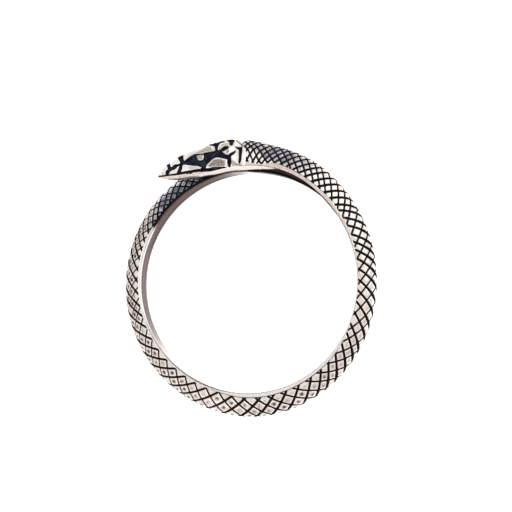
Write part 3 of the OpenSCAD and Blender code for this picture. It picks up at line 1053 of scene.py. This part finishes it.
def oxidised_silver():
    """Bright worn silver, with black tarnish and black painted shade where the mesh's values say."""
    material = bpy.data.materials.new("oxidised_silver")
    material.use_nodes = True
    material.node_tree.nodes.clear()
    g = Graph(material.node_tree)

    def stored(label):
        """A number that the mesh holds for each point."""
        return g.value(g.node("ShaderNodeAttribute", {"attribute_name": label}).outputs["Fac"])

    spot = g.node("ShaderNodeTexCoord").outputs["Object"]
    patch, mottle, grain, speck = [g.noise(spot, *pattern) for pattern in (PATCH, MOTTLE, GRAIN, SPECK)]

    # Black of tarnish in the cuts and of painted shade beside the head and where the body's parts
    # cross, the crossing's shade with a mottled edge, and brown tarnish in the dimples
    tarnish = g.soft_step(0.18, 0.50, stored("tarnish") + (grain - 0.5) * 0.4)
    soot = stored("soot") * (0.85 + (mottle - 0.5) * 1.0 + (patch - 0.5) * 1.2)
    tarnish = tarnish.most(1 - (1 - g.soft_step(0.05, 0.80, soot)) ** 1.8)
    pit = g.soft_step(0.45, 0.90, stored("pit") + (grain - 0.5) * 0.7)
    halo = g.soft_step(0.05, 0.60, stored("pit") + (mottle - 0.5) * 0.5) * 0.45
    pit = pit * g.soft_step(0.36, 0.56, patch)

    # Silver: bright, then warm, sandy or slate grey, and the belly's painted dark reflection in two
    # tones
    # The warm is partly painted reflection, the slate grey beside the head painted shadow, and the
    # body's sand a painted edge shade
    sand, warm, cool, belly = [stored(label) for label in ("sand", "warm", "cool", "belly")]
    silver = g.blend(warm, BRIGHT_SILVER, WARM_SILVER)
    silver = g.blend(warm * g.soft_step(0.46, 0.70, mottle) * 0.6, silver, BROWN_SILVER)
    silver = g.blend(sand * g.soft_step(0.25, 0.60, speck), silver, SANDY_SILVER)
    slate = 0.45 + g.soft_step(0.40, 0.60, patch) * 0.35 + g.soft_step(0.35, 0.65, grain) * 0.20
    silver = g.blend(cool * slate, silver, SLATE_SILVER)
    inner = g.blend(stored("shade") + (mottle - 0.5) * 0.4, BELLY_LIGHT, BELLY_DARK)
    silver = g.blend(belly, silver, inner)
    silver = g.blend(halo, silver, BROWN_SILVER)
    silver = g.blend(pit, silver, PIT_BROWN)
    black = g.blend(cool, TARNISH_AND_SHADE_BLACK, TARNISH_AND_SHADE_BLUE)
    # Lighter blue patches in the black are a painted sheen
    black = g.blend(cool * cool * g.soft_step(0.42, 0.64, patch), black, TARNISH_SHEEN)
    colour = g.blend(tarnish, silver, black)

    roughness = BRIGHT_ROUGH + sand * SAND_ROUGH + grain * GRAIN_ROUGH + tarnish * TARNISH_ROUGH
    metallic = 1 - tarnish.most(belly * BELLY_MATTE) * TARNISH_DULL
    relief = grain * 0.4 + speck * (0.3 + sand)
    bump = g.node(
        "ShaderNodeBump", None, Height=relief, Distance=BUMP_HEIGHT, Strength=BUMP_STRENGTH
    )
    shader = g.node(
        "ShaderNodeBsdfPrincipled", None, Base_Color=colour, Roughness=roughness,
        Metallic=metallic, Specular_IOR_Level=0.0, Normal=bump.outputs[0],
    )
    g.node("ShaderNodeOutputMaterial", None, i0=shader.outputs[0])
    return material


silver = oxidised_silver()
engraver = scale_engraver(silver)
pieces = [engrave(body_skin(*stretch), engraver) for stretch in STRETCHES]
head = snake_head()
head.data.materials.append(silver)
pieces.append(head)
for piece in pieces:
    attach(piece, "root")
    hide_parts("snake_ring")

# Floor, with its half size in metres
FLOOR_HALF = 0.6
floor_mesh = bpy.data.meshes.new("floor")
floor_mesh.from_pydata(
    [(x * FLOOR_HALF, y * FLOOR_HALF, FLOOR_Z * MM) for x, y in ((-1, -1), (1, -1), (1, 1), (-1, 1))],
    [], [(0, 1, 2, 3)],
)
floor = bpy.data.objects.new("floor", floor_mesh)
bpy.context.scene.collection.objects.link(floor)
paper = bpy.data.materials.new("white_paper")
paper.use_nodes = True
PAPER = {
    "Base Color": (0.93, 0.93, 0.93, 1),
    "Roughness": 0.9,
    "Specular IOR Level": 0.1,
    "Emission Color": (1, 1, 1, 1),
    "Emission Strength": 0.55,
}
for label, amount in PAPER.items():
    paper.node_tree.nodes["Principled BSDF"].inputs[label].default_value = amount
floor.data.materials.append(paper)

# Light
world = bpy.data.worlds.new("studio")
world.use_nodes = True
sky = world.node_tree.nodes["Background"].inputs
sky["Color"].default_value = (1, 1, 1, 1)
sky["Strength"].default_value = 1.0
bpy.context.scene.world = world


def aimed(position, target):
    """Placement of a camera or lamp that looks from one point at another, with +Y upwards."""
    forward = (Vector(target) - Vector(position)).normalized()
    right = forward.cross(Vector((0, 1, 0))).normalized()
    rise = right.cross(forward)
    turned = Matrix((right, rise, -forward)).transposed().to_4x4()
    return Matrix.Translation(Vector(position)) @ turned


def softbox(name, position, size, radiance, colour):
    """A square or oblong lamp that looks at the middle of the ring."""
    data = bpy.data.lights.new(name, "AREA")
    data.shape = "RECTANGLE"
    data.size, data.size_y = size
    data.energy = radiance * math.pi * size[0] * size[1]
    data.color = colour
    lamp = bpy.data.objects.new(name, data)
    lamp.matrix_world = aimed(position, (0, 0, 0))
    bpy.context.scene.collection.objects.link(lamp)


softbox("key_softbox", (0.22, 0.12, 0.30), (0.30, 0.30), radiance=1.2, colour=(1.0, 0.99, 0.97))
softbox("fill_softbox", (-0.20, -0.24, 0.26), (0.24, 0.24), radiance=0.5, colour=(1.0, 0.93, 0.90))

# Camera, where the photograph was taken from: nearly straight above the ring, a little to its right
CAMERA_LENS = 122.13
CAMERA_SENSOR = 36
CAMERA_AT = Vector((30.900, -13.031, 145.153)) * MM
CAMERA_AIM = Vector((0.257, 2.344, -1.05)) * MM
camera_data = bpy.data.cameras.new("camera")
camera_data.lens = CAMERA_LENS
camera_data.sensor_width = CAMERA_SENSOR
camera_data.clip_start = 0.005
camera_data.clip_end = 5
camera = bpy.data.objects.new("camera", camera_data)
camera.matrix_world = aimed(CAMERA_AT, CAMERA_AIM)
bpy.context.scene.collection.objects.link(camera)
bpy.context.scene.camera = camera
bpy.context.scene.view_settings.view_transform = "Standard"
